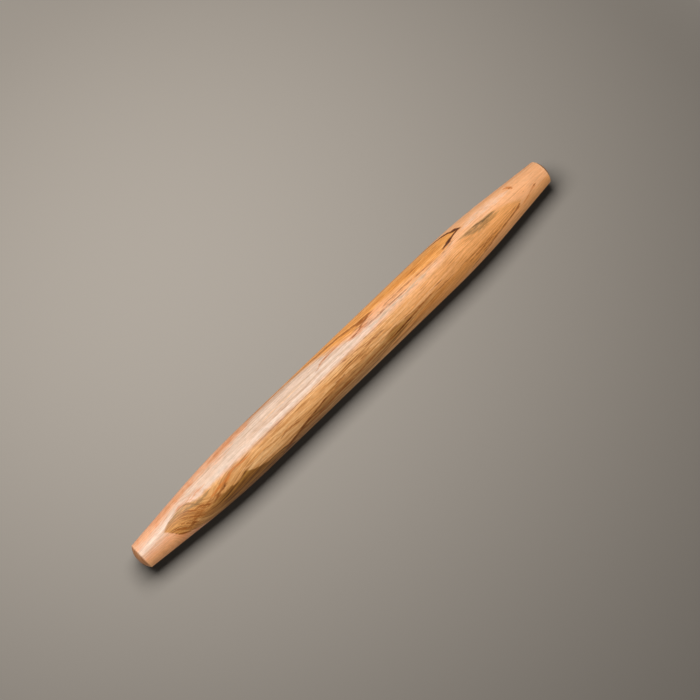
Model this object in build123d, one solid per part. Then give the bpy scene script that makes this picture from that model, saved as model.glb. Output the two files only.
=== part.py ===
from build123d import *

import os
from math import atan2, sqrt, tan

# French rolling pin: one length of hardwood turned between centres, with no handles and no axle.
# Millimetres. +X runs along the turning axis and +Z is up, with the pin lying level on its barrel.
# The origin is on the turning axis, halfway along the pin.

# Sizes that the turner works to
OVERALL_LENGTH = 508.0
BARREL_DIAMETER = 44.45
BARREL_LENGTH = 304.8
END_DIAMETER = 25.4

# Each shoulder is rolled over this far along the barrel and as far down the taper
EASING_REACH = 37.0

# Domed ends: a spherical crown cut by a small flat, and the rim sanded round
DOME_RADIUS = 20.0
END_FLAT_DIAMETER = 6.0
ARRIS_RADIUS = 1.2


def dome_rise(radius, rim_diameter, flat_diameter):
    """Height of a spherical dome from its rim circle up to the small flat that cuts its crown."""
    depth_of_rim = sqrt(radius**2 - (rim_diameter / 2) ** 2)
    depth_of_flat = sqrt(radius**2 - (flat_diameter / 2) ** 2)
    return depth_of_flat - depth_of_rim


def easing_radius(shoulder, arris):
    """Radius of the arc that touches the barrel and the taper at the easing's reach from their corner."""
    taper_angle = atan2(shoulder[1] - arris[1], arris[0] - shoulder[0])
    return EASING_REACH / tan(taper_angle / 2)


def half_profile():
    """Half of the lengthwise section, from the middle of the barrel out to the flat on one end.

    The barrel is parallel out to its shoulder and the taper is a straight cone from there to the arris,
    which is the rim of the domed end. The shoulder is then rolled over with one long easing arc, so that
    the taper grows out of the barrel with no edge to mark the dough, and the arris is sanded round.
    """
    middle = (0, 0)
    barrel_top = (0, BARREL_DIAMETER / 2)
    shoulder = (BARREL_LENGTH / 2, BARREL_DIAMETER / 2)
    tip = OVERALL_LENGTH / 2
    rise = dome_rise(DOME_RADIUS, END_DIAMETER, END_FLAT_DIAMETER)
    arris = (tip - rise, END_DIAMETER / 2)
    flat_rim = (tip, END_FLAT_DIAMETER / 2)
    flat_centre = (tip, 0)

    with BuildSketch() as section:
        with BuildLine():
            Polyline(middle, barrel_top, shoulder, arris)
            RadiusArc(arris, flat_rim, DOME_RADIUS)
            Polyline(flat_rim, flat_centre, middle)
        make_face()
        shoulder_corner = section.vertices().sort_by_distance(shoulder)[0]
        fillet(shoulder_corner, radius=easing_radius(shoulder, arris))
        arris_corner = section.vertices().sort_by_distance(arris)[0]
        fillet(arris_corner, radius=ARRIS_RADIUS)
    return section.sketch


def turned_pin():
    """The whole pin: both halves of the section, joined and spun once round the turning axis."""
    right_half = half_profile()
    left_half = mirror(right_half, about=Plane.YZ)
    pin = revolve(right_half + left_half, axis=Axis.X)
    pin.label = "turned_pin"
    return pin


os.makedirs("parts", exist_ok=True)
pin = turned_pin()
export_step(pin, "parts/turned_pin.step")
print(f"turned_pin: {pin.volume / 1000:.1f} cm3, {pin.bounding_box().size}")
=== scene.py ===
# %% [markdown]
# # A french rolling pin in oiled fruitwood
# The pin is one length of wood, turned between centres. Its size and place come from the packed
# model, and this lesson makes its fine surface, its grain and its finish around that.

# %% The frame
from functools import partial

import bpy
import numpy as np
from mathutils import Matrix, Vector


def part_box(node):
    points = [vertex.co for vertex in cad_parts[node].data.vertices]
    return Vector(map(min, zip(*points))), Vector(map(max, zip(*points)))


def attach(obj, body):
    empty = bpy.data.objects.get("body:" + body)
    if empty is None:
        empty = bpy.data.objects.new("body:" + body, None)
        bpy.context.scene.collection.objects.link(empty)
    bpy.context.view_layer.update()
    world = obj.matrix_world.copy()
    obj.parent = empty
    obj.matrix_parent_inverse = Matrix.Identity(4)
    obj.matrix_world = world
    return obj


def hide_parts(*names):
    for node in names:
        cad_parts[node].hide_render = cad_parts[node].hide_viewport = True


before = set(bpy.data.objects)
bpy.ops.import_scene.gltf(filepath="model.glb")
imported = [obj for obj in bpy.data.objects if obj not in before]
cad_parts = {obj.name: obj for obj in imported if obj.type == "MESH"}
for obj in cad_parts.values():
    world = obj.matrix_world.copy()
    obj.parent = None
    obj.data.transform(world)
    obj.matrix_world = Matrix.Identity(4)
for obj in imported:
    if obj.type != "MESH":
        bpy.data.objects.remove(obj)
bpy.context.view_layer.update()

NODE = "turned_pin"
MM = 0.001
low, high = (np.array(corner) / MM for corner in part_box(NODE))
print("pin from", low.round(2), "to", high.round(2), "mm")

# %% [markdown]
# ## Sizes
# The overall length and the level of the table are read from the model. The turner's other sizes are
# kept here in millimetres. A real pin is sanded after it leaves the lathe, so the wood ends up a hair
# under the size that the tool cut, and the sanding allowance takes that off all round.

# %% Sizes of the turning
SANDING = 0.05
TIP = high[0] - SANDING
BARREL_RADIUS = 44.45 / 2 - SANDING
SHOULDER = 304.8 / 2
EASING_REACH = 37.0
END_RADIUS = 25.4 / 2 - SANDING
DOME_RADIUS = 20.0
FLAT_RADIUS = 6.0 / 2
ARRIS_RADIUS = 1.2
TABLE_Z = low[2]

DOME_CENTRE = TIP - np.sqrt(DOME_RADIUS**2 - FLAT_RADIUS**2)
RIM = DOME_CENTRE + np.sqrt(DOME_RADIUS**2 - END_RADIUS**2)
TAPER = np.arctan2(BARREL_RADIUS - END_RADIUS, RIM - SHOULDER)
print(f"taper {np.degrees(TAPER):.2f} degrees, domes {TIP - RIM:.2f} mm high")

# %% [markdown]
# ## The profile
# A turned thing is a profile spun round an axis, and a Screw modifier would do that. Here the profile is
# a chain of straight and round stretches, each with its own formula, laid out as evenly spaced points,
# closer together on the tips where the surface bends most. Working the points out as arrays keeps the
# place and the angle of each at hand, and the grain needs both.

# %% Points along the profile
BODY_SPACING = 1.8
DOME_SPACING = 0.6
ARRIS_SPACING = 0.22


def straight(start, end, spacing):
    """Points on the line from start to end: start plus a steady share of the way, without the last."""
    start, end = np.array(start), np.array(end)
    count = int(np.ceil(np.linalg.norm(end - start) / spacing))
    return start + np.arange(count)[:, None] / count * (end - start)


def arc(centre, radius, first, last, spacing):
    """Points on an arc: the centre plus the radius times the cosine and sine of a steady angle."""
    count = int(np.ceil(abs(last - first) * radius / spacing))
    angle = first + np.arange(count) / count * (last - first)
    return np.array(centre) + radius * np.stack([np.cos(angle), np.sin(angle)], 1)


def arris_centre():
    """Centre of the arris's arc: one arris radius inside both the taper's line and the dome's circle."""
    along = np.array([np.cos(TAPER), -np.sin(TAPER)])
    inward = np.array([-np.sin(TAPER), -np.cos(TAPER)])
    start = np.array([SHOULDER - DOME_CENTRE, BARREL_RADIUS]) + ARRIS_RADIUS * inward
    half = start @ along
    rest = start @ start - (DOME_RADIUS - ARRIS_RADIUS) ** 2
    return np.array([DOME_CENTRE, 0.0]) + start + (np.sqrt(half**2 - rest) - half) * along


def half_profile():
    """From the middle of the barrel to the centre of one tip's flat, as places along and off the axis."""
    upright = np.pi / 2
    easing_start = SHOULDER - EASING_REACH
    easing_end = (SHOULDER + EASING_REACH * np.cos(TAPER), BARREL_RADIUS - EASING_REACH * np.sin(TAPER))
    easing = EASING_REACH / np.tan(TAPER / 2)
    arris = arris_centre()
    touch = arris + ARRIS_RADIUS * np.array([np.sin(TAPER), np.cos(TAPER)])
    dome_turn = np.arctan2(arris[1], arris[0] - DOME_CENTRE)
    flat_turn = np.arcsin(FLAT_RADIUS / DOME_RADIUS)
    return np.concatenate([
        straight((0.0, BARREL_RADIUS), (easing_start, BARREL_RADIUS), BODY_SPACING),
        arc((easing_start, BARREL_RADIUS - easing), easing, upright, upright - TAPER, BODY_SPACING),
        straight(easing_end, touch, BODY_SPACING),
        arc(arris, ARRIS_RADIUS, upright - TAPER, dome_turn, ARRIS_SPACING),
        arc((DOME_CENTRE, 0.0), DOME_RADIUS, dome_turn, flat_turn, DOME_SPACING),
        straight((TIP, FLAT_RADIUS), (TIP, 0.0), DOME_SPACING),
    ])


right_half = half_profile()
left_half = right_half[:0:-1] * [-1.0, 1.0]
station, radius = np.concatenate([left_half, right_half]).T
print(len(station), "rings, widest", round(float(radius.max()), 3), "mm")

# %% [markdown]
# ## The grid
# The second parameter is the angle round the axis. Zero is straight up and it grows towards the side
# that lies in shade, so a place on the wood is a distance along the pin and an angle, as a turner would
# mark it. Hand sanding leaves the surface very slightly wavy, and a satin finish shows it in the
# highlight, so the radius gets a few hundredths of a millimetre of slow waves. Each wave has a length
# over two pi in millimetres, a number of turns round the pin and a start.

# %% Angles and places
AROUND = 280
WAVE_DEPTH = 0.03
WAVES = ((17.0, 2, 0.0), (41.0, -3, 1.0), (9.0, 1, 0.0))

angle = np.arange(AROUND) / AROUND * 360.0 - 180.0
X, PHI = np.meshgrid(station, angle, indexing="ij")
turn = np.radians(PHI)


def sanding_waves(x, turn):
    """Mean of slow sines along and round the pin, between zero and minus twice the wave depth."""
    waves = sum(np.sin(x / length + turns * turn + start) for length, turns, start in WAVES)
    return WAVE_DEPTH * (waves / len(WAVES) - 1)


R = np.broadcast_to(radius[:, None], X.shape)
WAVED = R + sanding_waves(X, turn) * np.clip(R / END_RADIUS, 0, 1)
Y, Z = -WAVED * np.sin(turn), WAVED * np.cos(turn)
print("grid", X.shape, "spacing round the barrel", round(2 * np.pi * BARREL_RADIUS / AROUND, 2), "mm")

# %% [markdown]
# ## Where the figure lies
# The pin was cut where the golden heartwood meets the pink sapwood. A taper slices the growth rings at a
# shallow angle, so the heartwood ends in long tongues on both tapers. A purely procedural ring pattern
# would put them anywhere, so the few lines that make this piece of wood what it is are listed, as
# distances along the pin and angles round it, with a smooth curve through them.

# %% Curves through listed points
def through(places, x):
    """A smooth line through places: cubics whose slope at a place is its neighbours' harmonic mean."""
    at, value = np.array(places, float).T
    slope = np.diff(value) / np.diff(at)
    before, after = slope[:-1], slope[1:]
    same_way = before * after > 0
    mean = np.where(same_way, 2 * before * after / np.where(same_way, before + after, 1.0), 0.0)
    slopes = np.concatenate([slope[:1], mean, slope[-1:]])
    i = np.clip(np.searchsorted(at, x) - 1, 0, len(at) - 2)
    step = at[i + 1] - at[i]
    s = np.clip((x - at[i]) / step, 0.0, 1.0)
    ends = (s**3 - 2 * s**2 + s) * slopes[i] + (s**3 - s**2) * slopes[i + 1]
    return value[i] + (3 * s**2 - 2 * s**3) * (value[i + 1] - value[i]) + ends * step


def turned_by(centre):
    """Degrees from centre to each point of the grid, the short way round."""
    return (PHI - centre + 180.0) % 360.0 - 180.0


def arc_mm(degrees):
    """Millimetres along the surface for an angle round the axis."""
    return np.radians(degrees) * R


def ramp(value, start, end):
    """Zero at start, one at end and an S-shaped rise between, level outside. Either may be the larger."""
    share = np.clip((value - start) / (end - start), 0.0, 1.0)
    return share * share * (3 - 2 * share)


# %% [markdown]
# ## Heartwood, amber wood and the pale crown, which is partly painted sheen
# Each of these is a band: a middle angle and a half width that change along the pin. What the mesh
# carries is the signed distance to the band's edge, so the material can cut a crisp or a soft edge that
# is finer than the mesh. Past a band's ends its half width is negative, which carries the distance on.
# The heartwood's tip on the left and the amber's on the right are crisper, so there it counts double.

# %% Bands of coloured wood, as distance along, middle angle, half width
HEARTWOOD = [
    (-254, 4, -60), (-230, 6, -14), (-222, 7, 0), (-220, 9, 7), (-218, 11.5, 13.5), (-216, 14.5, 18.5),
    (-214, 19.5, 25.5), (-211, 24, 32), (-205, 26.5, 37.5), (-198, 31.5, 42.5), (-192, 37, 44),
    (-188, 42.5, 44.5), (-182, 48.5, 43.5), (-174, 52, 46), (-160, 54, 49.5), (-138, 59, 53),
    (-100, 67, 60), (0, 72.5, 66.5), (42, 66, 61), (79, 57, 52), (97, 52, 46), (115, 45, 41),
    (128, 39, 39), (137, 34.5, 38.5), (146, 30, 38), (163, 25.5, 33.5), (177, 24.5, 26.5), (191, 25, 21),
    (201, 28.5, 15.5), (208, 32, 8), (211.5, 30, 0), (218, 30, -12), (254, 30, -60),
]
AMBER_WOOD = [
    (-254, -82, -60), (-190, -82, -4), (-160, -84, 9), (-116, -84, 14), (-62, -79, 17), (-36, -74, 23),
    (-24, -71, 27), (-16, -67, 30), (-7, -62, 31), (6, -57, 32), (15, -56, 34), (24, -58, 34),
    (34, -60, 30), (43, -61, 29), (52, -60, 29), (66, -58, 29), (79, -56, 29), (90, -51, 30),
    (101, -46, 30), (115, -42, 29), (124, -39, 26), (132, -38.5, 20), (139, -39.5, 14), (146, -37, 6),
    (153, -32.5, 0), (161, -32, -12), (254, -32, -60),
]
# The pale crown is paler sapwood and also painted sheen: it runs along the top of the pin, where the
# lamp's highlight lies.
PALE_CROWN_AND_PAINTED_SHEEN = [
    (-254, 2, 18), (-235, 0, 18), (-215, -8, 18), (-200, -14, 20), (-170, -15, 25), (-140, -12, 22),
    (-117, -17, 29), (-100, -22, 36), (-50, -24, 40), (-26, -20, 35), (-10, -13, 25), (5, -8, 17),
    (15, -5, 13), (30, -3, 9), (48, -4, 4), (65, -6, 0), (85, -7, -3), (110, -8, -3), (128, -12, -5),
    (150, -20, -12), (254, -30, -30),
]

# %% Distance to each band's edge
HEARTWOOD_TIP = (-190, -210)
AMBER_TIP = (95, 125)


def band(table):
    """Signed distance in mm to a band's edge: half width less angle from the middle, as an arc."""
    table = np.array(table, float)
    middle = through(table[:, [0, 1]], X)
    half = through(table[:, [0, 2]], X)
    return arc_mm(half - np.abs(turned_by(middle)))


heart = band(HEARTWOOD) * (1 + ramp(X, *HEARTWOOD_TIP))
amber = band(AMBER_WOOD) * (1 + ramp(X, *AMBER_TIP))
pale = band(PALE_CROWN_AND_PAINTED_SHEEN)
print(f"heartwood on {np.mean(heart > 0):.0%} of the grid, amber wood on {np.mean(amber > 0):.0%}")

# %% [markdown]
# ## The dark core
# Inside the golden heartwood lies a darker, olive brown core. Its upper edge runs low along the pin:
# ragged on the left, with a light tongue above it, and then a long, nearly straight bank. Its far edge
# is out of sight on the left and comes close to the upper one on the right.

# %% The dark core's two edges as angles, and how strong it is, along the pin
CORE_EDGE = [
    (-254, 90), (-215, 80), (-200, 62), (-192, 52), (-180, 44), (-172, 38), (-167, 39), (-161, 42),
    (-155, 39), (-150, 44), (-143, 40), (-138, 35), (-134, 41), (-129, 48), (-123, 54), (-114, 60),
    (-105, 60), (-98, 63), (-94, 66), (-90, 67), (-81, 61), (-73, 56), (-64, 52), (-55, 47), (-47, 44),
    (-38, 43), (-29, 42.5), (-19, 42), (-8, 41), (10, 41), (27, 41), (33, 38), (42, 36), (60, 38),
    (78, 40), (89, 39), (110, 46), (134, 62), (254, 90),
]
CORE_FAR_EDGE = [
    (-254, 114), (-40, 114), (0, 88), (25, 72), (45, 61), (65, 55), (85, 52), (110, 58), (130, 80),
    (254, 90),
]
CORE_STRENGTH = [
    (-254, 0), (-200, 0.1), (-186, 0.35), (-174, 0.65), (-163, 0.95), (-120, 1), (-95, 0.9), (-80, 0.66),
    (0, 0.5), (28, 0.6), (38, 0.86), (48, 0.86), (58, 0.64), (75, 0.5), (95, 0.25), (120, 0), (254, 0),
]

core = np.minimum(arc_mm(PHI - through(CORE_EDGE, X)), arc_mm(through(CORE_FAR_EDGE, X) - PHI))
core_strength = through(CORE_STRENGTH, X)
print(f"dark core on {np.mean(core > 0):.0%} of the grid")

# %% [markdown]
# ## Drawn lines
# Gum lines, mineral streaks and rusty flecks are long and thin, so they are drawn as pen strokes: a line
# along the pin with its own half width at each place, down to nothing at its ends. One value per kind
# says how near a point is to the middle of a stroke, and the material breaks the strokes up.

# %% Gum strokes, each a strength and its places with their half width in mm
GUM = [
    (0.95, [(108, -68, 0), (117, -65, 0.6), (125, -61, 0.7), (132, -57, 0.9), (138, -52.5, 1.2),
            (141, -48, 1.5), (144, -42.5, 1.8), (147, -39, 2), (150, -36, 2), (153, -31, 0)]),
    (0.9, [(122, -18, 0), (126.5, -20, 0.5), (130.5, -22, 1.1), (133.5, -23.5, 1.7), (136.5, -25, 1.7),
           (139, -27, 1.1), (142, -29, 0.7), (146, -31, 0.7), (150, -32, 0.9), (153, -32, 0)]),
    (0.48, [(-99, 75, 0), (-94, 71, 2.4), (-85, 65, 2.4), (-73, 57, 2), (-64, 53, 1.6), (-55, 49, 1.3),
            (-47, 45, 1), (-38, 41, 0)]),
    (0.75, [(38, 51.5, 0), (44, 51, 0.9), (50, 49.5, 0.9), (55, 48.5, 0.6), (60, 47.5, 0.9),
            (66, 46, 0)]),
]

# %% Brown strokes
BROWN = [
    (1, [(-128, -76, 0), (-106, -70, 0.8), (-89, -66, 0.9), (-62, -62, 1), (-45, -58, 1), (-27, -55, 1.1),
         (-10, -51.5, 1.1), (-1, -49, 1.1), (8, -45, 1.1), (16, -40, 1.2), (23, -36, 1.5), (30, -35, 1.5),
         (37, -33, 0.9), (42, -32, 0)]),
    (0.7, [(-40, -54, 0), (-20, -50, 0.7), (0, -45, 0.8), (12, -38, 0.9), (20, -34, 1), (26, -30, 0.9),
           (30, -27, 0)]),
    (1, [(14, -39, 0), (21, -35, 2), (26, -31, 2.6), (31, -29, 2), (36, -29, 0)]),
    (1, [(9, -16, 0), (13, -16, 0.8), (19, -19, 1), (24, -23.5, 1.1), (28, -28, 1.1), (34, -33, 1),
         (38, -33, 0)]),
    (0.5, [(-40, -16, 0), (-33, -17.5, 0.7), (-29, -21, 0.8), (-25, -25.5, 0.9), (-20, -27, 0.8),
           (-14, -28, 0)]),
    (0.55, [(44, -18, 0), (54, -19.5, 1), (62, -20, 1.5), (72, -20, 1.6), (84, -18.5, 1.3), (97, -16, 1),
            (112, -14, 0.8), (124, -13, 0)]),
    (0.7, [(20, -14, 0), (28, -12.5, 0.8), (42, -12, 0.9), (55, -11.5, 0.9), (69, -10, 0.7),
           (86, -8, 0)]),
    (0.6, [(118, -12, 0), (126, -12.5, 0.8), (133, -15, 0.9), (138, -19, 0.8), (142, -25, 0)]),
    (0.9, [(-31, 34, 0), (-26, 34, 0.7), (-18, 34, 0.7), (-15, 34, 0)]),
    (0.8, [(0, 34, 0), (4, 35, 0.7), (9, 34.5, 0.7), (12, 34, 0)]),
    (0.6, [(-20, 9, 0), (-10, 10, 1), (-1, 12, 1), (10, 14, 0.9), (16, 16, 0.9), (28, 19, 0.8),
           (38, 20, 0)]),
    (0.7, [(6, 16, 0), (15, 20, 0.7), (24, 21, 0.9), (33, 21, 0.7), (40, 21, 0)]),
    (0.6, [(-24, 27, 0), (-12, 27, 0.7), (-3, 27, 0.8), (6, 24.5, 0.8), (14, 26, 0)]),
    (0.6, [(20, 40, 0), (33, 38, 1.3), (42, 36, 1.6), (51, 38, 1.6), (60, 38, 1.3), (69, 40, 1.1),
           (78, 40, 1), (89, 39, 0.9), (98, 40, 0)]),
    (0.8, [(-75, 67, 0), (-68, 66, 1.3), (-55, 64, 1.3), (-37, 60, 1.2), (-20, 57, 1.1), (-2, 56, 1.1),
           (16, 53, 1.2), (29, 52, 1.2), (44, 51, 1.2), (52, 49, 1.1), (61, 47, 1), (70, 45, 0.9),
           (79, 41, 0.8), (90, 40, 0)]),
    (0.6, [(-55, 50, 0), (-47, 46, 1), (-38, 42.5, 1), (-29, 41.5, 0.9), (-19, 40.5, 0.9),
           (-4, 39.5, 0)]),
    (0.8, [(-99, 41, 0), (-95, 38.5, 0.6), (-89, 36, 0.7), (-82, 36, 0.7), (-76, 38, 0.7), (-71, 41, 0)]),
    (0.5, [(-96, 35, 0), (-89, 33, 0.6), (-80, 33, 0.6), (-70, 35, 0.6), (-60, 38, 0)]),
    (0.8, [(134, 73, 0), (141, 70, 0.9), (150, 66, 1), (163, 59, 1), (177, 52, 1), (191, 47, 1.1),
           (201, 44, 1.4), (206, 41, 1.5), (209, 36, 1.1), (211, 30, 0)]),
    (0.5, [(120, 62, 0), (140, 60, 0.8), (159, 56, 0.9), (173, 51, 0.9), (187, 47, 0.9), (198, 43, 0)]),
    (0.5, [(150, 52, 0), (168, 48, 0.9), (181, 42, 0.9), (193, 38, 1), (202, 34, 1.1), (207, 29, 0)]),
    (0.55, [(-182, 33, 0), (-174, 32, 2), (-167, 31, 2.3), (-161, 29, 1.6), (-156, 26, 0.8),
            (-151, 21, 0)]),
    (0.5, [(76, 13, 0), (84, 14, 0.8), (92, 14, 0.8), (100, 13, 0)]),
    (0.4, [(118, 20, 0), (135, 17, 0.9), (155, 16, 0.9), (170, 18, 0)]),
    (0.6, [(120, 44, 0), (134, 41, 0.9), (146, 42, 1.1), (158, 42, 1), (172, 38, 0.8), (180, 35, 0)]),
    (0.7, [(128, 50, 0), (142, 50, 1), (156, 48, 1.2), (168, 45, 1), (180, 41, 0)]),
    (0.6, [(86, 31, 0), (96, 32, 0.9), (101, 32, 0.9), (110, 31, 0)]),
    (0.6, [(88, 43, 0), (100, 43, 1.2), (112, 43, 1), (120, 42, 0)]),
    (0.9, [(-219, 20, 0), (-217, 28, 0.6), (-215, 39, 0.8), (-211, 52, 1.1), (-205, 62, 1.1),
           (-198, 72, 0)]),
    (0.9, [(-216, 16, 0), (-214, 24, 1), (-210, 36, 1.4), (-206, 47, 1.4), (-201, 60, 0)]),
    (0.9, [(-210, 17, 0), (-206, 26, 1.1), (-202, 37, 1.5), (-197, 49, 1.4), (-192, 60, 0)]),
    (0.8, [(-208, 8, 0), (-203, 15, 0.8), (-199, 24, 1.1), (-194, 35, 1.2), (-189, 46, 1.2),
           (-184, 56, 0)]),
    (0.7, [(-202, 3, 0), (-197, 10, 0.8), (-192, 19, 1.1), (-187, 28, 1), (-182, 36, 0)]),
    (0.7, [(-191, 18, 0), (-187, 22, 1.4), (-183, 26, 1.5), (-179, 28, 0)]),
    (0.3, [(18, 3, 0), (30, 4, 0.8), (44, 5, 0.8), (62, 4, 0)]),
    (0.3, [(52, -1, 0), (64, 0, 0.8), (80, 1, 0.9), (96, 2, 0)]),
    (0.55, [(-206, 50, 0), (-199, 44, 3), (-192, 37, 4), (-184, 33, 4.5), (-176, 32, 4), (-169, 36, 3),
            (-160, 38, 0)]),
]

# %% Rust strokes
RUST = [
    (0.85, [(-177, 27, 0), (-171, 24, 1.1), (-166, 22, 1.4), (-161, 20.5, 1.6), (-155, 19.5, 1.9),
            (-151, 17, 1.6), (-148, 14, 1.2), (-143, 11.5, 1.1), (-137, 13, 1), (-130, 14.5, 0.8),
            (-121, 14.5, 0)]),
    (0.9, [(230, 29, 0), (231.2, 28, 1.5), (232.6, 27.5, 1.5), (234, 27, 0)]),
    (0.7, [(-34, -17, 0), (-30, -20, 0.8), (-25, -25.5, 1.2), (-20, -27, 1.4), (-15, -28, 1.3),
           (-6, -28, 0.9), (4, -27, 0)]),
    (0.6, [(22, -38, 0), (27, -33, 2.4), (33, -31, 2.2), (40, -32, 1.4), (46, -34, 0)]),
    (0.5, [(-226, -40, 0), (-210, -44, 4), (-197, -46, 5), (-186, -44, 4), (-174, -40, 0)]),
    (0.5, [(-160, -46, 0), (-148, -50, 4), (-136, -52, 5), (-124, -52, 5), (-112, -50, 4),
           (-98, -50, 0)]),
    (0.5, [(-206, -17, 0), (-196, -15, 3), (-188, -13, 4), (-180, -10, 4), (-168, -10, 0)]),
    (0.6, [(3, -19, 0), (9, -16, 1.8), (16, -15.5, 2.6), (24, -17, 2.6), (33, -19, 0)]),
    (0.75, [(206.5, -42, 0), (209.5, -37, 1.6), (211.4, -30, 1.8), (212.9, -26, 1.6), (214.4, -20, 0)]),
    (0.75, [(210.4, -50, 0), (211.2, -42, 2), (212.2, -34, 2.4), (213.5, -26, 2), (214.4, -20, 0)]),
    (1.3, [(210.8, -30, 0), (211.8, -28, 1.8), (213, -25, 2.4), (214.3, -21, 1.5), (215.2, -18, 0)]),
    (0.65, [(209, 50, 0), (213, 46.5, 0.7), (220.4, 39.5, 0.9), (227.9, 31.2, 1), (231.6, 28, 1.3),
            (234, 26, 0)]),
]

# %% Olive strokes
OLIVE = [
    (1.4, [(155, -9, 0), (161, -8, 0.6), (167, -5.5, 0.8), (173, -3.2, 1.1), (180, -2.2, 1.2),
           (188, 0, 0)]),
    (0.9, [(145, -7, 0), (151, -6, 1.8), (157.5, -4, 2.6), (165, -2, 2.7), (173, -1.5, 2.2),
           (180, -1.5, 1.6), (189, 1, 0)]),
    (0.5, [(141, -9, 0), (147, -7, 2.8), (155, -4, 4), (164, -1, 3.8), (172, 3, 0)]),
    (0.42, [(26, -6, 0), (38, -4, 3.5), (60, -4, 4.5), (85, -4, 3.4), (106, -3, 0)]),
    (0.45, [(12, -28, 0), (20, -26, 1.8), (30, -26, 2.2), (42, -26, 0)]),
    (0.35, [(136, 4, 0), (147, 7, 3.5), (158, 10, 4), (168, 13, 3), (178, 13, 0)]),
    (0.7, [(150, -2, 0), (157, 2, 3.5), (164, 4.5, 4.5), (171, 5.5, 4), (180, 6.5, 2.2), (191, 8, 0)]),
    (1, [(164, 0, 0), (168, 0, 1.2), (173, 2, 1.4), (177, 3, 0)]),
    (0.5, [(-223, 3, 0), (-217, -1, 1.6), (-211, -4, 2.2), (-203, -5, 2.6), (-196, -3, 3), (-189, 3, 3.2),
           (-182, 9, 2.6), (-174, 13, 0)]),
    (0.8, [(-219, -1, 0), (-214, -5, 0.8), (-208, -7, 1), (-201, -9, 1.1), (-194, -8.5, 0.9),
           (-188, -2, 0)]),
    (0.35, [(20, -18, 0), (34, -16, 3.5), (48, -13, 5), (66, -10, 5.5), (92, -9, 4), (122, -9, 0)]),
    (0.8, [(-200, 1, 0), (-194, 4, 1.6), (-189, 9, 2.2), (-184, 12, 2.4), (-177, 11, 1.8), (-168, 8, 0)]),
]

# %% Light strokes and painted sheen
# Pale streaks of the wood, except one painted reflection.
PALE_STREAKS_AND_RIM_REFLECTION = [
    (0.6, [(-135, 33, 0), (-121, 32, 1.1), (-108, 30, 1.3), (-95, 27, 1.3), (-82, 26, 1.3),
           (-65, 28, 1.1), (-50, 30, 0)]),
    (0.4, [(50, -29, 0), (66, -28, 1.8), (79, -26, 2.4), (95, -23, 2.4), (110, -20, 2), (124, -19, 0)]),
    # Painted reflection: this stroke, low on the shaded side, stands in for the lit floor reflected
    # there.
    (0.55, [(-30, 92, 0), (-5, 88, 3.5), (30, 84, 4.5), (75, 82, 4.5), (110, 82, 0)]),
    (0.6, [(-108, -20, 0), (-90, -21, 0.9), (-60, -21, 0.9), (-40, -20, 0)]),
    (0.6, [(13, 28, 0), (20, 31, 1.6), (32, 32, 1.8), (46, 31, 1.2), (56, 30, 0)]),
    (0.5, [(-150, 30, 0), (-138, 30, 1.6), (-126, 40, 2.2), (-112, 46, 2), (-98, 50, 0)]),
]
# Painted sheen: pale pink strokes laid along the lamp's highlight on the top of the pin, from the left
# tip to the right taper.
PAINTED_SHEEN_STROKES = [
    (0.8, [(-251, 6, 0), (-248, 4, 2.6), (-241, 1, 3), (-233, -2, 3), (-225, -6, 2.4), (-216, -12, 1.8),
           (-204, -20, 0)]),
    (0.8, [(-112, -34, 0), (-92, -36, 2.6), (-66, -36, 3.4), (-46, -35, 3.2), (-28, -32, 2),
           (-14, -31, 0)]),
    (0.55, [(8, -3, 0), (20, -4, 1.6), (40, -5, 1.8), (66, -5, 1.6), (92, -6, 1.3), (114, -7, 0)]),
    (0.55, [(148, -24, 0), (158, -25, 3), (170, -28, 5.5), (184, -26, 6), (198, -24, 5), (212, -20, 0)]),
]

# %% [markdown]
# The bell curve of the distance over the half width has no hard rim, so the mesh can carry it from point
# to point. Near its ends a stroke would be thinner than the mesh is fine. From there on it keeps a least
# width and fades instead.

# %% Nearness to the strokes
STROKES = {"gum": GUM, "brown": BROWN, "rust": RUST, "olive": OLIVE, "light": PALE_STREAKS_AND_RIM_REFLECTION, "painted_sheen": PAINTED_SHEEN_STROKES}
LEAST_HALF = 0.4
FADES_BELOW = 0.5


def drawn(strokes):
    """Nearness to the nearest stroke: strength times the bell curve of distance over half width."""
    nearness = np.zeros_like(X)
    for strength, places in strokes:
        places = np.array(places, float)
        off = arc_mm(turned_by(through(places[:, [0, 1]], X)))
        half = np.interp(X, places[:, 0], places[:, 2])
        bell = np.exp(-((off / np.maximum(half, LEAST_HALF)) ** 2))
        nearness = np.maximum(nearness, strength * ramp(half, 0, FADES_BELOW) * bell)
    return nearness


marks = {name: drawn(strokes) for name, strokes in STROKES.items()}
print("strokes:", {name: len(strokes) for name, strokes in STROKES.items()})

# %% [markdown]
# ## Knots and the run of the grain
# The grain's own coordinate is the distance across it. Left alone it is the arc round the pin. A few
# guide lines that follow the tongues bend it, the swirl on the left taper tilts it, and each small knot
# pushes the lines apart to both sides, as wood grows round a twig.

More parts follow.
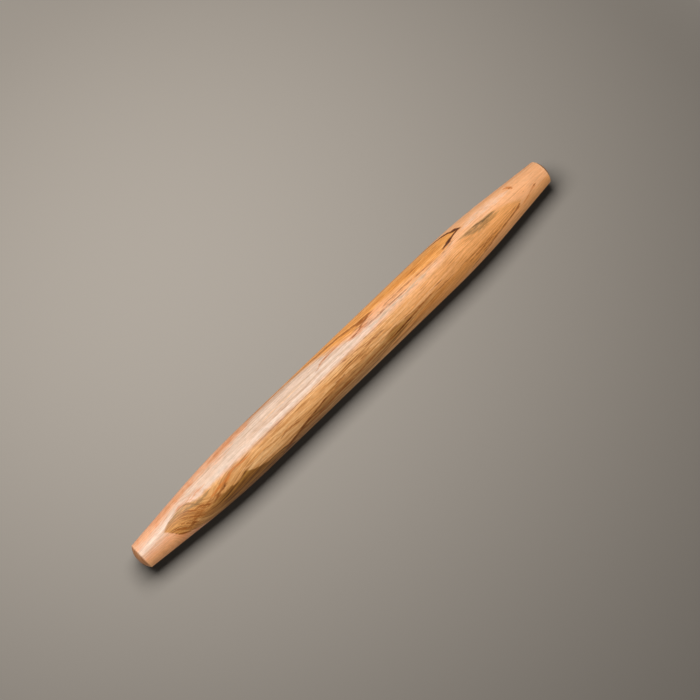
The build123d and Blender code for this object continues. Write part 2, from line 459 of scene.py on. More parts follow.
# %% Guide lines as an angle each keeps and its places, the tilt in mm, and knots as place and size
GRAIN_GUIDES = [
    (-45, [(-254, -60), (-116, -70), (-62, -62), (-27, -55), (-1, -49), (16, -40), (37, -33), (80, -34),
           (152, -34), (254, -32)]),
    (5, [(-254, 5), (-222, 3), (-211, -8), (-198, -11), (-182, 4), (-159, 5), (-125, 6), (22, 7), (79, 6),
         (115, 5), (137, 4), (150, 5), (163, 7), (177, 10), (191, 14), (206, 19), (254, 20)]),
    (100, [(-254, 30), (-225, 36), (-214, 50), (-205, 64), (-192, 81), (-170, 98), (-100, 125), (0, 135),
           (60, 120), (100, 97), (134, 74), (150, 66), (163, 59), (177, 52), (191, 46), (208, 42),
           (254, 36)]),
]
TILT = [
    (-254, -17), (-235, -16), (-222, -14), (-212, -8), (-203, -1), (-195, 6), (-188, 10.5), (-181, 13.5),
    (-176, 14), (-165, 11.5), (-150, 7), (-135, 3), (-118, 0.5), (-100, 0), (254, 0),
]
KNOTS = [
    (-172, 38, 2), (-161, 30, 1.6), (-199, 46, 2.4), (-93, 76, 3.4), (10, 30, 1.2), (-54, 20, 0.8),
    (212.5, -24, 1.5), (232, 27, 1.3), (219, 17, 0.6), (64, 168, 2.4), (-120, -140, 1.6),
]

# %% Grain coordinate
TILT_MIDDLE = 46.0
TILT_REACH = 72.0
PUSH_LENGTH, PUSH_WIDTH = 4, 5
EYE_SLIMNESS = 1.4


def guided():
    """The arc round the pin, stretched so that each guide line keeps one value all along."""
    guides = [(kept, through(places, X)) for kept, places in GRAIN_GUIDES]
    guides = [(-180.0, np.full_like(X, -180.0)), *guides, (180.0, np.full_like(X, 180.0))]
    value = np.full_like(X, -180.0)
    for (kept, near), (next_kept, far) in zip(guides[:-1], guides[1:]):
        value = value + (next_kept - kept) * np.clip((PHI - near) / (far - near), 0, 1)
    return np.radians(value) * BARREL_RADIUS


def parted(value):
    """value with its lines pushed apart at each knot, and how deep each point lies in a knot."""
    depth = np.zeros_like(X)
    for x, phi, size in KNOTS:
        across, along = arc_mm(turned_by(phi)), X - x
        push = size * np.exp(-((along / (PUSH_LENGTH * size)) ** 2) - (across / (PUSH_WIDTH * size)) ** 2)
        value = value + np.sign(across) * (np.hypot(across, push) - np.abs(across))
        depth = np.maximum(depth, np.exp(-((along / size) ** 2) - (EYE_SLIMNESS * across / size) ** 2))
    return value, depth


tilted = guided() - through(TILT, X) * ramp(np.abs(turned_by(TILT_MIDDLE)), TILT_REACH, 0)
flow, knot = parted(tilted)
straight_grain = np.radians(PHI) * BARREL_RADIUS
print(f"grain coordinate from {flow.min():.0f} to {flow.max():.0f} mm")

# %% [markdown]
# ## Slow changes
# Other things change over the length of the pin or round it, and each is a share between nought and one:
# where the grain swirls, where the wood is deep in colour or rosy, how far down a taper a place lies, and
# where a warm tint goes, which on the low side is painted shade. The tips show end grain, and a thin
# pale line along their rims is a painted highlight. Each pair of numbers says where a ramp starts and
# ends, in millimetres along the pin or in degrees round it.

# %% Where the grain swirls
SWIRL_X, SWIRL_PHI, SWIRL_LENGTH, SWIRL_WIDTH = -195.0, 42.0, 24.0, 11.0
INTO_HEARTWOOD = (-3, 2)

swirl_away = np.hypot((X - SWIRL_X) / SWIRL_LENGTH, arc_mm(PHI - SWIRL_PHI) / SWIRL_WIDTH)
swirl = np.exp(-(swirl_away**2)) * ramp(heart, *INTO_HEARTWOOD)
print(f"swirl on {np.mean(swirl > 0.5):.1%} of the grid")

# %% Where the tone changes
DEEP_RUN, ROSY_RUN, TAPER_RUN = (-115, -185), (10, 100), (110, 210)
LOW_SIDE_FROM, LOW_SIDE_TO, LEFT_TIP_RUN = (20, 60), (150, 100), (-196, -216)
PATCH_X, PATCH_PHI, PATCH_LENGTH, PATCH_WIDTH, PATCH_SHARE = 85, -16, 70, 18, 0.75

deep = ramp(X, *DEEP_RUN)
rosy = ramp(X, *ROSY_RUN)
taper = ramp(np.abs(X), *TAPER_RUN)
low_side = ramp(PHI, *LOW_SIDE_FROM) * ramp(PHI, *LOW_SIDE_TO)
patch = ramp(np.abs(X - PATCH_X), PATCH_LENGTH, 0) * ramp(np.abs(turned_by(PATCH_PHI)), PATCH_WIDTH, 0)
# The warm tint on the low side is painted shade; the same tint goes on the patch.
warm_shade_and_tint = np.maximum(low_side * np.maximum(rosy, ramp(X, *LEFT_TIP_RUN)), PATCH_SHARE * patch)
print(f"tanned on {np.mean(warm_shade_and_tint > 0.5):.0%} of the grid")

# %% The tips
END_GRAIN_RUN = (RIM, RIM + 1.2)
# A painted highlight: a thin pale line just inside the rim of each tip.
ARRIS_HIGHLIGHT_LINE, ARRIS_HIGHLIGHT_WIDTH = RIM - 0.4, 0.8

end_grain = ramp(np.abs(X), *END_GRAIN_RUN)
painted_arris_highlight = np.exp(-(((np.abs(X) - ARRIS_HIGHLIGHT_LINE) / ARRIS_HIGHLIGHT_WIDTH) ** 2))
print(f"end grain from {END_GRAIN_RUN[0]:.1f} mm, worn line at {ARRIS_HIGHLIGHT_LINE:.1f} mm")

# %% [markdown]
# ## The mesh
# The rings become one closed skin: quads between neighbouring rings, and at each tip a fan of triangles
# from the last ring to a single point on the axis, so the ends are closed too.

# %% The skin
def skin(name, x, y, z):
    """Quads between neighbouring rings and a fan of triangles from each pole, facing outwards."""
    rings, around = x.shape
    inner = slice(1, rings - 1)
    body = np.stack([x[inner], y[inner], z[inner]], -1).reshape(-1, 3)
    poles = np.array([[x[0, 0], 0, 0], [x[-1, 0], 0, 0]])
    points = np.concatenate([body, poles]) * MM
    count = (rings - 2) * around
    here = np.arange(around)
    following = (here + 1) % around
    row = np.arange(rings - 3)[:, None] * around
    quads = np.stack([row + here, row + around + here, row + around + following, row + following], -1)
    left_fan = np.stack([here, following, np.full(around, count)], -1)
    last = (rings - 3) * around
    right_fan = np.stack([last + following, last + here, np.full(around, count + 1)], -1)
    mesh = bpy.data.meshes.new(name)
    faces = quads.reshape(-1, 4).tolist() + left_fan.tolist() + right_fan.tolist()
    mesh.from_pydata(points.tolist(), [], faces)
    mesh.shade_smooth()
    return mesh


mesh = skin(NODE, X, Y, Z)
print(len(mesh.vertices), "points,", 2 * len(mesh.polygons), "triangles")

# %% [markdown]
# Every distance and share worked out above goes onto the points as an attribute, which the material reads
# by its name. The values are smooth, so they hold between the points too.

# %% Values on the points
def store(mesh, name, grid):
    """Puts a grid of values on the skin's points. A pole takes the mean of its row."""
    values = np.concatenate([grid[1:-1].ravel(), [grid[0].mean(), grid[-1].mean()]])
    attribute = mesh.attributes.new(name, "FLOAT", "POINT")
    attribute.data.foreach_set("value", values.astype(np.float32))


grids = {
    "heart": heart, "amber": amber, "pale": pale, "core": core, "core_strength": core_strength, **marks,
    "flow": flow, "straight": straight_grain, "knot": knot, "swirl": swirl, "deep": deep, "rosy": rosy,
    "taper": taper, "warm_shade_and_tint": warm_shade_and_tint, "end_grain": end_grain, "painted_arris_highlight": painted_arris_highlight,
}
for name, grid in grids.items():
    store(mesh, name, grid)
print(len(grids), "values on each point")

# %% [markdown]
# Laid flat, the skin is nearly four times as long as it is wide. Each half of the pin gets a strip of its
# own on the UV map, so that a square image is about as fine along the grain as across it.

# %% The UV map
STRIP_GAP = 0.01
JUST_PAST_HALF = 0.5 + 1e-9


def unwrap(mesh, along, around):
    """Two strips, one above the other: along the strip is along the pin, across it is round the pin."""
    corners = np.zeros(len(mesh.loops), np.int64)
    mesh.loops.foreach_get("vertex_index", corners)
    first = np.zeros(len(mesh.polygons), np.int64)
    mesh.polygons.foreach_get("loop_start", first)
    face = np.searchsorted(first, np.arange(len(corners)), side="right") - 1
    first_pole = len(mesh.vertices) - 2
    pole = corners >= first_pole
    ring = np.where(pole, np.where(corners == first_pole, 0, len(along) - 1), 1 + corners // around)
    column = (corners % around).astype(float)
    start = np.minimum.reduceat(np.where(pole, around, column), first)
    spread = np.maximum.reduceat(np.where(pole, -1, column), first) - start
    column = np.where((spread[face] > around / 2) & (column == 0), around, column)
    middle = start[face] + 0.5
    column = np.where(pole, middle, column)
    across = column / around
    share = along[ring] / along[-1]
    right = np.maximum.reduceat(share, first)[face] > JUST_PAST_HALF
    u = np.where(right, 2 * share - 1, 2 * share)
    v = 0.5 * across * (1 - STRIP_GAP) + np.where(right, 0.5 + 0.5 * STRIP_GAP, 0)
    layer = mesh.uv_layers.new(name="OFBake")
    layer.uv.foreach_set("vector", np.stack([u, v], 1).astype(np.float32).ravel())


along = np.concatenate([[0], np.cumsum(np.hypot(np.diff(station), np.diff(radius)))])
unwrap(mesh, along, AROUND)
pin = bpy.data.objects.new("rolling_pin", mesh)
bpy.context.scene.collection.objects.link(pin)
print(f"skin {along[-1]:.0f} mm from pole to pole, {2 * np.pi * BARREL_RADIUS:.0f} mm round the barrel")

# %% [markdown]
# ## Nodes
# Colours are written as they look on a screen, in hex, and turned into the linear values that light
# is added up in. One small function adds any node, with its settings and what feeds its sockets. A
# socket goes by its number where its node has several of one name. On a Map Range 1 and 2 are the range
# that comes in and 3 and 4 the range that goes out, and on a Mix of colours 6 and 7 are the two colours.

# %% Colour and node helpers
def linear(code):
    """The linear colour of an sRGB hex value: each share s becomes ((s + 0.055) / 1.055) to the 2.4."""
    srgb = np.array([int(code[i:i + 2], 16) / 255 for i in (0, 2, 4)])
    value = np.where(srgb <= 0.04045, srgb / 12.92, ((srgb + 0.055) / 1.055) ** 2.4)
    return (*value, 1.0)


def add(tree, kind, feeds=(), output=0, stops=(), **settings):
    """Adds a node and returns one of its outputs. feeds gives each socket a value or a node's output."""
    node = tree.nodes.new("ShaderNode" + kind)
    for name, value in settings.items():
        setattr(node, name, value)
    for socket, value in dict(feeds).items():
        if isinstance(value, bpy.types.NodeSocket):
            tree.links.new(value, node.inputs[socket])
        else:
            node.inputs[socket].default_value = value
    for number, (place, code) in enumerate(stops):
        elements = node.color_ramp.elements
        stop = elements[number] if number < 2 else elements.new(place)
        stop.position, stop.color = place, linear(code)
    return node.outputs[output] if len(node.outputs) else node


print("half of full brightness on a screen is", round(float(linear("808080")[0]), 3), "in light")

# %% [markdown]
# ## Oiled fruitwood
# The wood is a dense, diffuse-porous fruitwood: pink sapwood and golden heartwood, with growth lines a
# couple of millimetres apart, finer fibres between them, and pores that show as short dark dashes. It
# was sanded along the grain, oiled and waxed, which gives it depth and a soft broad sheen but no gloss.
# The figure is noise on the grain coordinate, stretched long along the pin.

# %% The material and its coordinates
wood = bpy.data.materials.new("oiled_fruitwood")
wood.use_nodes = True
wood.node_tree.nodes.clear()
put = partial(add, wood.node_tree)
field = {name: put("Attribute", output="Fac", attribute_name=name) for name in grids}

place = put("VectorMath", {0: put("TexCoord", output="Object"), "Scale": 1 / MM}, operation="SCALE")
along_pin = put("SeparateXYZ", {0: place}, "X")
print("the material reads", ", ".join(field))

# %% Streaks of noise
def streaks(coordinates, length, width, seed, detail=3.0):
    """Noise whose blotches are length by width in mm on the given coordinates. seed moves the pattern."""
    size = {0: coordinates, 1: (1 / length, 1 / width, 1.0), 2: (0.0, 0.0, seed)}
    scaled = put("VectorMath", size, operation="MULTIPLY_ADD")
    return put("TexNoise", {"Vector": scaled, "Scale": 1.0, "Detail": detail, "Roughness": 0.55})


# %% [markdown]
# The lines of growth never run quite straight. A slow wander shifts them by a millimetre or so over a
# hand's width and a quicker one roughens them. A third, the curl, shifts them by a few millimetres, but
# only where the grain swirls round the knots of the left taper. The fibres keep to the straight
# coordinate, because each is too short or too thin for a bend to show.

# %% Wandering grain
WANDER = 2.2
JITTER = 0.5
CURL = 4.4

bent = put("CombineXYZ", {0: along_pin, 1: field["flow"]})
fibres_run = put("CombineXYZ", {0: along_pin, 1: field["straight"]})
across = field["flow"]
for length, width, seed, size in ((80.0, 9.0, 0.3, WANDER), (16.0, 3.0, 11.7, JITTER)):
    wander = put("MapRange", {0: streaks(bent, length, width, seed, 2.0), 3: -size, 4: size})
    across = put("Math", {0: across, 1: wander})
curl = put("MapRange", {0: streaks(bent, 11.0, 6.0, 5.1), 3: -CURL, 4: CURL})
across = put("Math", {0: curl, 1: field["swirl"], 2: across}, operation="MULTIPLY_ADD")
grain = put("CombineXYZ", {0: along_pin, 1: across})

# %% [markdown]
# ## Growth lines
# Each year ends in a thin darker line with a soft side and a sharp side. The distance across the grain
# over the line spacing is cut into whole years, each with a strength of its own, and the place within
# the year says how near its dark end is. Longer noise lets a line fade out and come back along the pin.

# %% Late wood at the end of each year
YEAR = 2.5
SOFT_SIDE = 0.45
SHARP_SIDE = 0.93
GONE_BELOW, WHOLE_ABOVE = 0.38, 0.62

years = put("Math", {0: across, 1: 1 / YEAR}, operation="MULTIPLY")
this_year = put("Math", {0: years}, operation="FLOOR")
within = put("Math", {0: years}, operation="FRACT")
rising = put("MapRange", {0: within, 1: SOFT_SIDE, 2: SHARP_SIDE}, interpolation_type="SMOOTHSTEP")
falling = put("MapRange", {0: within, 1: 1.0, 2: SHARP_SIDE}, interpolation_type="SMOOTHSTEP")
strength = put("TexWhiteNoise", {"W": this_year}, noise_dimensions="1D")
fading = put("MapRange", {0: streaks(grain, 38.0, 4.0, 21.3, 2.0), 1: GONE_BELOW, 2: WHOLE_ABOVE})
late = put("Math", {0: rising, 1: falling}, operation="MULTIPLY")
late = put("Math", {0: late, 1: strength}, operation="MULTIPLY")
late = put("Math", {0: late, 1: fading}, operation="MULTIPLY")

# %% The figure, dark at nought and light at one
PATTERN = [
    (streaks(grain, 120.0, 1.3, 2.0), 0.42),
    (streaks(grain, 140.0, 5.0, 9.0, 2.0), 0.32),
    (streaks(grain, 14.0, 1.1, 14.0), 0.26),
]
LATE_DEPTH = 0.12
LATE_DEPTH_IN_SWIRL = 0.22

figure = 0.0
for pattern, share in PATTERN:
    figure = put("Math", {0: pattern, 1: share, 2: figure}, operation="MULTIPLY_ADD")
depth = put("MapRange", {0: field["swirl"], 3: LATE_DEPTH, 4: LATE_DEPTH_IN_SWIRL})
late_depth = put("Math", {0: late, 1: depth}, operation="MULTIPLY")
figure = put("Math", {0: figure, 1: late_depth}, operation="SUBTRACT")

# %% [markdown]
# ## The kinds of wood
# Every kind of wood turns the same figure into its own run of colours, and the bands say which kind is
# where. Noise of up to a few millimetres is added to each band's distance first, so its edge comes out
# torn along the fibres instead of smooth. The figure is calmer in the sapwood of the tapers.

# %% Colours from the late wood to the light early wood
COLOURS = {
    "warm sapwood": ((0.34, "c07e4e"), (0.44, "e2a074"), (0.57, "f0b48c")),
    "rosy sapwood": ((0.34, "cc8450"), (0.43, "e6a26c"), (0.57, "f0b484")),
    # The pale sapwood's light, greyish colours are partly painted sheen.
    "pale sapwood and painted sheen": ((0.36, "ab8264"), (0.45, "cca98e"), (0.57, "dec4ae")),
    "golden heart": ((0.32, "744514"), (0.41, "b07438"), (0.49, "d5975a"), (0.6, "e8b67c")),
    "deep heart": ((0.28, "4e2c0c"), (0.4, "965e2c"), (0.49, "c68848"), (0.64, "e2ac6c")),
    "rosy heart": ((0.3, "9c5e26"), (0.41, "d48e4c"), (0.5, "e49e5e"), (0.62, "f0b078")),
    "amber": ((0.34, "a45c1e"), (0.43, "d98c42"), (0.5, "ea9f52"), (0.62, "f2b474")),
    "core": ((0.3, "301a04"), (0.42, "663c14"), (0.5, "8c5a22"), (0.64, "b07c38")),
}
MIDDLE_FIGURE = 0.48
CALM = 0.75

calm = put("MapRange", {0: field["taper"], 3: 1.0, 4: CALM})
sap_figure = put("Math", {0: figure, 1: MIDDLE_FIGURE}, operation="SUBTRACT")
sap_figure = put("Math", {0: sap_figure, 1: calm, 2: MIDDLE_FIGURE}, operation="MULTIPLY_ADD")
kind = {
    name: put("ValToRGB", {0: sap_figure if "sapwood" in name else figure}, stops=stops)
    for name, stops in COLOURS.items()
}
print("kinds of wood:", ", ".join(kind))

# %% [markdown]
# The noise that tears the edges is about a centimetre long in one part and as fine as the fibres in the
# other. The share of a band at a place is then a soft step across its torn edge.

# %% Torn edges
TORN = 3.4
TORN_FINE = 1.6

tear = put("MapRange", {0: streaks(grain, 12.0, 2.4, 31.0), 3: -TORN, 4: TORN})
fine_tear = put("MapRange", {0: streaks(fibres_run, 4.0, 0.8, 33.0, 2.0), 3: -TORN_FINE, 4: TORN_FINE})
tear = put("Math", {0: tear, 1: fine_tear})


def inside(distance, soft, torn=1.0, most=1.0):
    """Share of a band at a signed distance from its edge: torn by the noise, then soft mm wide."""
    edge = put("Math", {0: tear, 1: torn, 2: distance}, operation="MULTIPLY_ADD")
    feeds = {0: edge, 1: -soft / 2, 2: soft / 2, 3: 0.0, 4: most}
    return put("MapRange", feeds, interpolation_type="SMOOTHSTEP")


# %% [markdown]
# The kinds are laid over the warm sapwood one after another, each in its own share. The sapwood of the
# left half also blushes in salmon patches of about a centimetre, and the golden heartwood turns deeper
# at the left end and rosier at the right.

# %% Lay one kind over the other
BLUSH = "e28e5e"
BLUSH_SIZE = 8.0
BLUSH_FROM, BLUSH_WHOLE = 0.5, 0.66
MOST_BLUSH = 0.5

patches = put("TexNoise", {"Vector": place, "Scale": 1 / BLUSH_SIZE, "Detail": 3.0})
blush_share = put("MapRange", {0: patches, 1: BLUSH_FROM, 2: BLUSH_WHOLE, 4: MOST_BLUSH})
kind["blush"] = linear(BLUSH)
heart_share = inside(field["heart"], soft=4.5)
core_inside = inside(field["core"], soft=2.0, torn=0.55)
core_share = put("Math", {0: core_inside, 1: field["core_strength"]}, operation="MULTIPLY")
LAYERS = [
    ("blush", blush_share),
    ("rosy sapwood", field["rosy"]),
    ("pale sapwood and painted sheen", inside(field["pale"], soft=10.0, torn=2.0, most=0.95)),
    ("golden heart", heart_share),
    ("deep heart", put("Math", {0: heart_share, 1: field["deep"]}, operation="MULTIPLY")),
    ("rosy heart", put("Math", {0: heart_share, 1: field["rosy"]}, operation="MULTIPLY")),
    ("amber", inside(field["amber"], soft=8.0, torn=1.2)),
    ("core", core_share),
]
colour = kind["warm sapwood"]
for name, share in LAYERS:
    colour = put("Mix", {0: share, 6: colour, 7: kind[name]}, output=2, data_type="RGBA")
print("laid over the warm sapwood:", ", ".join(name for name, _ in LAYERS))

# %% [markdown]
# ## Marks
# Gum, rust and mineral follow the fibres in short dashes, so their strokes are thinned and thickened by
# noise before they are laid on. The olive stain and the gum come twice, because both turn darker still in
# the middle of their strongest strokes. A knot is a small dark eye that the lines part round.

# %% Marks: nearness where each starts and where it is whole, its most share, its colour
MARKS = [
    # Pale streaks, one of them a painted reflection on the shaded side.
    ("light", 0.2, 0.75, 0.6, "f0bd84"),
    # Painted sheen.
    ("painted_sheen", 0.1, 0.9, 0.62, "eed0ba"),
    ("rust", 0.15, 0.8, 0.74, "c56e25"),
    ("olive", 0.15, 0.8, 0.68, "86663a"),
    ("olive", 0.8, 1.15, 0.62, "523e20"),
    ("brown", 0.2, 0.8, 0.8, "904a0a"),
    ("gum", 0.12, 0.5, 0.85, "7e4006"),
    ("gum", 0.4, 0.85, 0.94, "421600"),
    ("knot", 0.25, 0.9, 0.55, "7c4414"),
    # Painted highlight along the rim of each tip.
    ("painted_arris_highlight", 0.2, 1.0, 0.3, "f6c498"),
]
THIN_BELOW, THICK_ABOVE = 0.34, 0.66
THINNED, THICKENED = 0.55, 1.4

dashes = streaks(fibres_run, 7.0, 1.1, 41.0, 2.0)
thickness = put("MapRange", {0: dashes, 1: THIN_BELOW, 2: THICK_ABOVE, 3: THINNED, 4: THICKENED})
for name, start, full, most, code in MARKS:
    broken = put("Math", {0: field[name], 1: thickness}, operation="MULTIPLY")
    feeds = {0: broken, 1: start, 2: full, 3: 0.0, 4: most}
    share = put("MapRange", feeds, interpolation_type="SMOOTHSTEP")
    colour = put("Mix", {0: share, 6: colour, 7: linear(code)}, output=2, data_type="RGBA")

# %% [markdown]
# ## Fibres, pores and slow mottling
# The finest detail only shades the colour. Real fibres and pores are under a tenth of a millimetre wide
# and would not show from a metre away, so they are drawn several times too coarse. Both ends are made a
# little paler, which is painted light where the lamp's light falls off, more at the right end. The low
# side of the right half and of the left tip gets a warm tint, which is painted shade, and a patch beside
# the amber wood gets the same tint.

# %% Shading
MOTTLING_SIZE = 22.0
SHADES = [
    (streaks(fibres_run, 9.0, 0.8, 51.0, 2.0), 0.34),
    (streaks(grain, 5.0, 1.6, 53.0, 2.0), 0.36),
    (streaks(fibres_run, 45.0, 0.75, 57.0, 1.0), 0.4),
    (put("TexNoise", {"Vector": place, "Scale": 1 / MOTTLING_SIZE, "Detail": 2.0}), 0.26),
]
# Painted light: the ends are lightened, the right end more, where the lamp's light falls off.
LEFT_END_PAINTED_LIGHT = 1.1
RIGHT_END_PAINTED_LIGHT = 1.17
# Warm tint: painted shade on the low side, and the same tint on a patch beside the amber wood.
WARM_TINT = "fff6da"
PORE_LENGTH = 4.0
PORE_WIDTH = 0.45
PORE_FROM, PORE_WHOLE = 0.62, 0.72
PORE_DARKER = 0.2

painted_end_light = put("MapRange", {0: field["rosy"], 3: LEFT_END_PAINTED_LIGHT, 4: RIGHT_END_PAINTED_LIGHT})
shade = put("MapRange", {0: field["taper"], 3: 1.0, 4: painted_end_light})
for pattern, swing in SHADES:
    change = put("MapRange", {0: pattern, 3: 1 - swing / 2, 4: 1 + swing / 2})
    shade = put("Math", {0: shade, 1: change}, operation="MULTIPLY")
flecks = streaks(fibres_run, PORE_LENGTH, PORE_WIDTH, 61.0, 1.0)
pores = put("MapRange", {0: flecks, 1: PORE_FROM, 2: PORE_WHOLE})
shade = put("Math", {0: pores, 1: -PORE_DARKER, 2: shade}, operation="MULTIPLY_ADD")
tone = put("CombineColor", {0: shade, 1: shade, 2: shade})
# The tone carries the painted light on the ends, and the warm tint the painted shade on the low side.
for share, tint in ((1.0, tone), (field["warm_shade_and_tint"], linear(WARM_TINT))):
    colour = put("Mix", {0: share, 6: colour, 7: tint}, output=2, data_type="RGBA", blend_type="MULTIPLY")

# %% [markdown]
# ## End grain
# On the domed ends the same growth lines are cut straight across. They show as arcs round the heart of
# the tree, which lies outside the pin, and the open ends drink more oil and turn darker.

# %% Arcs on the ends
HEART_OF_TREE = (0.0, -26.0, 38.0)
RING_SPACING = 1.3
RING_DEPTH = 60.0
END_STOPS = ((0.36, "a8602e"), (0.5, "d48a52"), (0.64, "e8aa78"))

from_heart = put("VectorMath", {0: place, 1: HEART_OF_TREE}, operation="SUBTRACT")
level = put("VectorMath", {0: from_heart, 1: (0.0, 1.0, 1.0)}, operation="MULTIPLY")
ring = put("VectorMath", {0: level}, output="Value", operation="LENGTH")
ring_place = put("CombineXYZ", {0: along_pin, 1: ring})
arcs = streaks(ring_place, RING_DEPTH, RING_SPACING, 71.0)
ends = put("ValToRGB", {0: arcs}, stops=END_STOPS)
colour = put("Mix", {0: field["end_grain"], 6: colour, 7: ends}, output=2, data_type="RGBA")

# %% [markdown]
# ## Surface
# Oil and wax leave a satin skin over a fine relief of a few hundredths of a millimetre. The dark lines,
# the pores and the gum are tiny valleys in it, so the sheen breaks up along the grain. The skin is a
# little smoother where the wood is light, and the gum stays rough.

# %% Relief and finish, each pattern with its share of the height
RELIEF = 0.03
RELIEF_STRENGTH = 0.5
HEIGHTS = [
    (SHADES[0][0], 1.0), (PATTERN[0][0], 1.6), (PATTERN[2][0], 1.2), (pores, -0.8), (field["gum"], -1.5),
]
ROUGHEST, SMOOTHEST = 0.57, 0.45
ROUGH_BELOW, SMOOTH_ABOVE = 0.3, 0.7
GUM_ROUGHER = 0.3

height = 0.0
for pattern, share in HEIGHTS:
    height = put("Math", {0: pattern, 1: share, 2: height}, operation="MULTIPLY_ADD")
bump = put("Bump", {"Height": height, "Strength": RELIEF_STRENGTH, "Distance": RELIEF * MM})
rough = put("MapRange", {0: SHADES[1][0], 1: ROUGH_BELOW, 2: SMOOTH_ABOVE, 3: ROUGHEST, 4: SMOOTHEST})
rough = put("Math", {0: field["gum"], 1: GUM_ROUGHER, 2: rough}, operation="MULTIPLY_ADD")
finish = put("BsdfPrincipled", {"Base Color": colour, "Roughness": rough, "Normal": bump, "IOR": 1.5})
put("OutputMaterial", {"Surface": finish})
print(len(wood.node_tree.nodes), "nodes in the wood")

pin.data.materials.append(wood)
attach(pin, "root")
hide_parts(NODE)

# %% [markdown]
# ## Floor and backdrop
# A plain pale floor. The lamps stand close, so their light dies away within a metre. A studio hides that
# with a pale sweep of paper behind the object, and here the camera sees the far floor fade into the
# backdrop's colour. That colour is only for the camera's own rays and sheds no light on the pin.

# %% Floor
FLOOR_HALF = 4000.0
FLOOR_COLOUR = "aca398"
FLOOR_ROUGHNESS = 0.7
BACKDROP = "b2aba2"
FADE_START, FADE_END = 430.0, 740.0

corners = np.array([(-1, -1, 0), (1, -1, 0), (1, 1, 0), (-1, 1, 0)]) * FLOOR_HALF + (0, 0, TABLE_Z)
floor_mesh = bpy.data.meshes.new("floor")
floor_mesh.from_pydata((corners * MM).tolist(), [], [(0, 1, 2, 3)])
floor = bpy.data.objects.new("floor", floor_mesh)
bpy.context.scene.collection.objects.link(floor)
print(f"floor {2 * FLOOR_HALF / 1000:.0f} m wide at {TABLE_Z:.2f} mm")

# %% The floor's paint
paint = bpy.data.materials.new("pale_floor")
paint.use_nodes = True
paint.node_tree.nodes.clear()
lay = partial(add, paint.node_tree)
far = lay("VectorMath", {0: lay("TexCoord", output="Object")}, output="Value", operation="LENGTH")
fade_range = {0: far, 1: FADE_START * MM, 2: FADE_END * MM}
fade = lay("MapRange", fade_range, interpolation_type="SMOOTHSTEP")
fade = lay("Math", {0: fade, 1: lay("LightPath", output="Is Camera Ray")}, operation="MULTIPLY")
matt = lay("BsdfPrincipled", {"Base Color": linear(FLOOR_COLOUR), "Roughness": FLOOR_ROUGHNESS})
sweep = lay("Emission", {"Color": linear(BACKDROP), "Strength": 1.0})
lay("OutputMaterial", {"Surface": lay("MixShader", {0: fade, 1: matt, 2: sweep})})
floor.data.materials.append(paint)
print("the floor fades into the backdrop from", FADE_START, "to", FADE_END, "mm")

# %% [markdown]
# ## Light
# One big soft lamp stands high on the far side of the pin, nearer its left end, and faces the floor
# beyond it, so the floor falls off in tone across the picture and the shadow hugs the pin's near edge.
# Two wide, weak lamps open up the flanks of the pin alone and leave that shadow dark. The sky is very
# weak and even. The floor ignores the light that the pin throws back, which would turn the shadow brown.

# %% Lamps
KEY_PLACE, KEY_SIZE, KEY_POWER = (-60.0, 225.0, 640.0), (600.0, 400.0), 5.1
KEY_AIM = (-40.0, 175.0, 0.0)
FILL_PLACE, FILL_SIZE, FILL_POWER = (0.0, -900.0, 760.0), (1400.0, 900.0), 5.6
SIDE_PLACE, SIDE_SIZE, SIDE_POWER = (-540.0, 700.0, 520.0), (1000.0, 500.0), 2.0


def aimed(place, target, up):
    """World matrix of something at place that looks at target with its own Y as near up as can be."""
    back = np.array(place, float) - np.array(target, float)
    back /= np.linalg.norm(back)
    right = np.cross(up, back)
    right /= np.linalg.norm(right)
    matrix = np.eye(4)
    matrix[:3, :3] = np.stack([right, np.cross(back, right), back], 1)
    matrix[:3, 3] = np.array(place) * MM
    return Matrix(matrix.tolist())


def soft_lamp(name, place, size, power, aim=(0.0, 0.0, 0.0)):
    """A white rectangle of light at place, facing the point aim, that the camera cannot see."""
    data = bpy.data.lights.new(name, "AREA")
    data.shape = "RECTANGLE"
    data.size, data.size_y = (side * MM for side in size)
    data.energy = power
    lamp = bpy.data.objects.new(name, data)
    lamp.matrix_world = aimed(place, aim, (0, 1, 0))
    lamp.visible_camera = False
    bpy.context.scene.collection.objects.link(lamp)
    return lamp


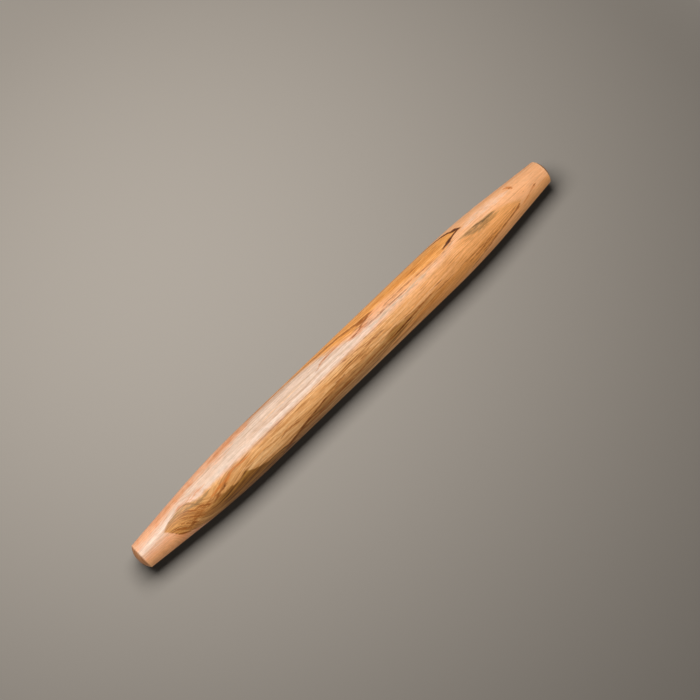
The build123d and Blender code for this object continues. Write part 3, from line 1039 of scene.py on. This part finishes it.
key_lamp = soft_lamp("key_lamp", KEY_PLACE, KEY_SIZE, KEY_POWER, KEY_AIM)
fill_lamp = soft_lamp("fill_lamp", FILL_PLACE, FILL_SIZE, FILL_POWER)
side_lamp = soft_lamp("side_lamp", SIDE_PLACE, SIDE_SIZE, SIDE_POWER)
fill_lamp.visible_glossy = False
pin.visible_diffuse = False
only_the_pin = bpy.data.collections.new("only_the_pin")
only_the_pin.objects.link(pin)
fill_lamp.light_linking.receiver_collection = only_the_pin
side_lamp.light_linking.receiver_collection = only_the_pin
print("lamps of", KEY_POWER, FILL_POWER, "and", SIDE_POWER, "W")

# %% Sky
SKY_COLOUR = "f4f1ec"
SKY_STRENGTH = 0.03

world = bpy.data.worlds.new("sky")
world.use_nodes = True
world.node_tree.nodes.clear()
hang = partial(add, world.node_tree)
dim = hang("Background", {"Color": linear(SKY_COLOUR), "Strength": SKY_STRENGTH})
backdrop = hang("Background", {"Color": linear(BACKDROP), "Strength": 1.0})
seen = hang("LightPath", output="Is Camera Ray")
hang("OutputWorld", {"Surface": hang("MixShader", {0: seen, 1: dim, 2: backdrop})})
bpy.context.scene.world = world
bpy.context.scene.view_settings.view_transform = "Standard"

# %% [markdown]
# ## Camera
# The camera looks steeply down and leans towards the lower edge of the picture. The pin lies across the
# picture at 45 degrees, and the distance makes its two ends land where they should.

# %% Camera
AIM = (5.62, 3.83, 0.0)
DISTANCE = 1295.1
LEAN = 16.0
PIN_SLOPE = 45.0
LENS = 50.0
SENSOR = 24.0

slope, lean = np.radians([PIN_SLOPE, LEAN])
picture_up = np.array([np.sin(slope), np.cos(slope), 0.0])
towards_camera = np.cos(lean) * np.array([0.0, 0.0, 1.0]) - np.sin(lean) * picture_up
camera_data = bpy.data.cameras.new("camera")
camera_data.lens = LENS
camera_data.sensor_width = SENSOR
camera_data.sensor_height = SENSOR
camera = bpy.data.objects.new("camera", camera_data)
camera.matrix_world = aimed(np.array(AIM) + DISTANCE * towards_camera, AIM, picture_up)
bpy.context.scene.collection.objects.link(camera)
bpy.context.scene.camera = camera
print("camera at", [round(v, 3) for v in camera.location])
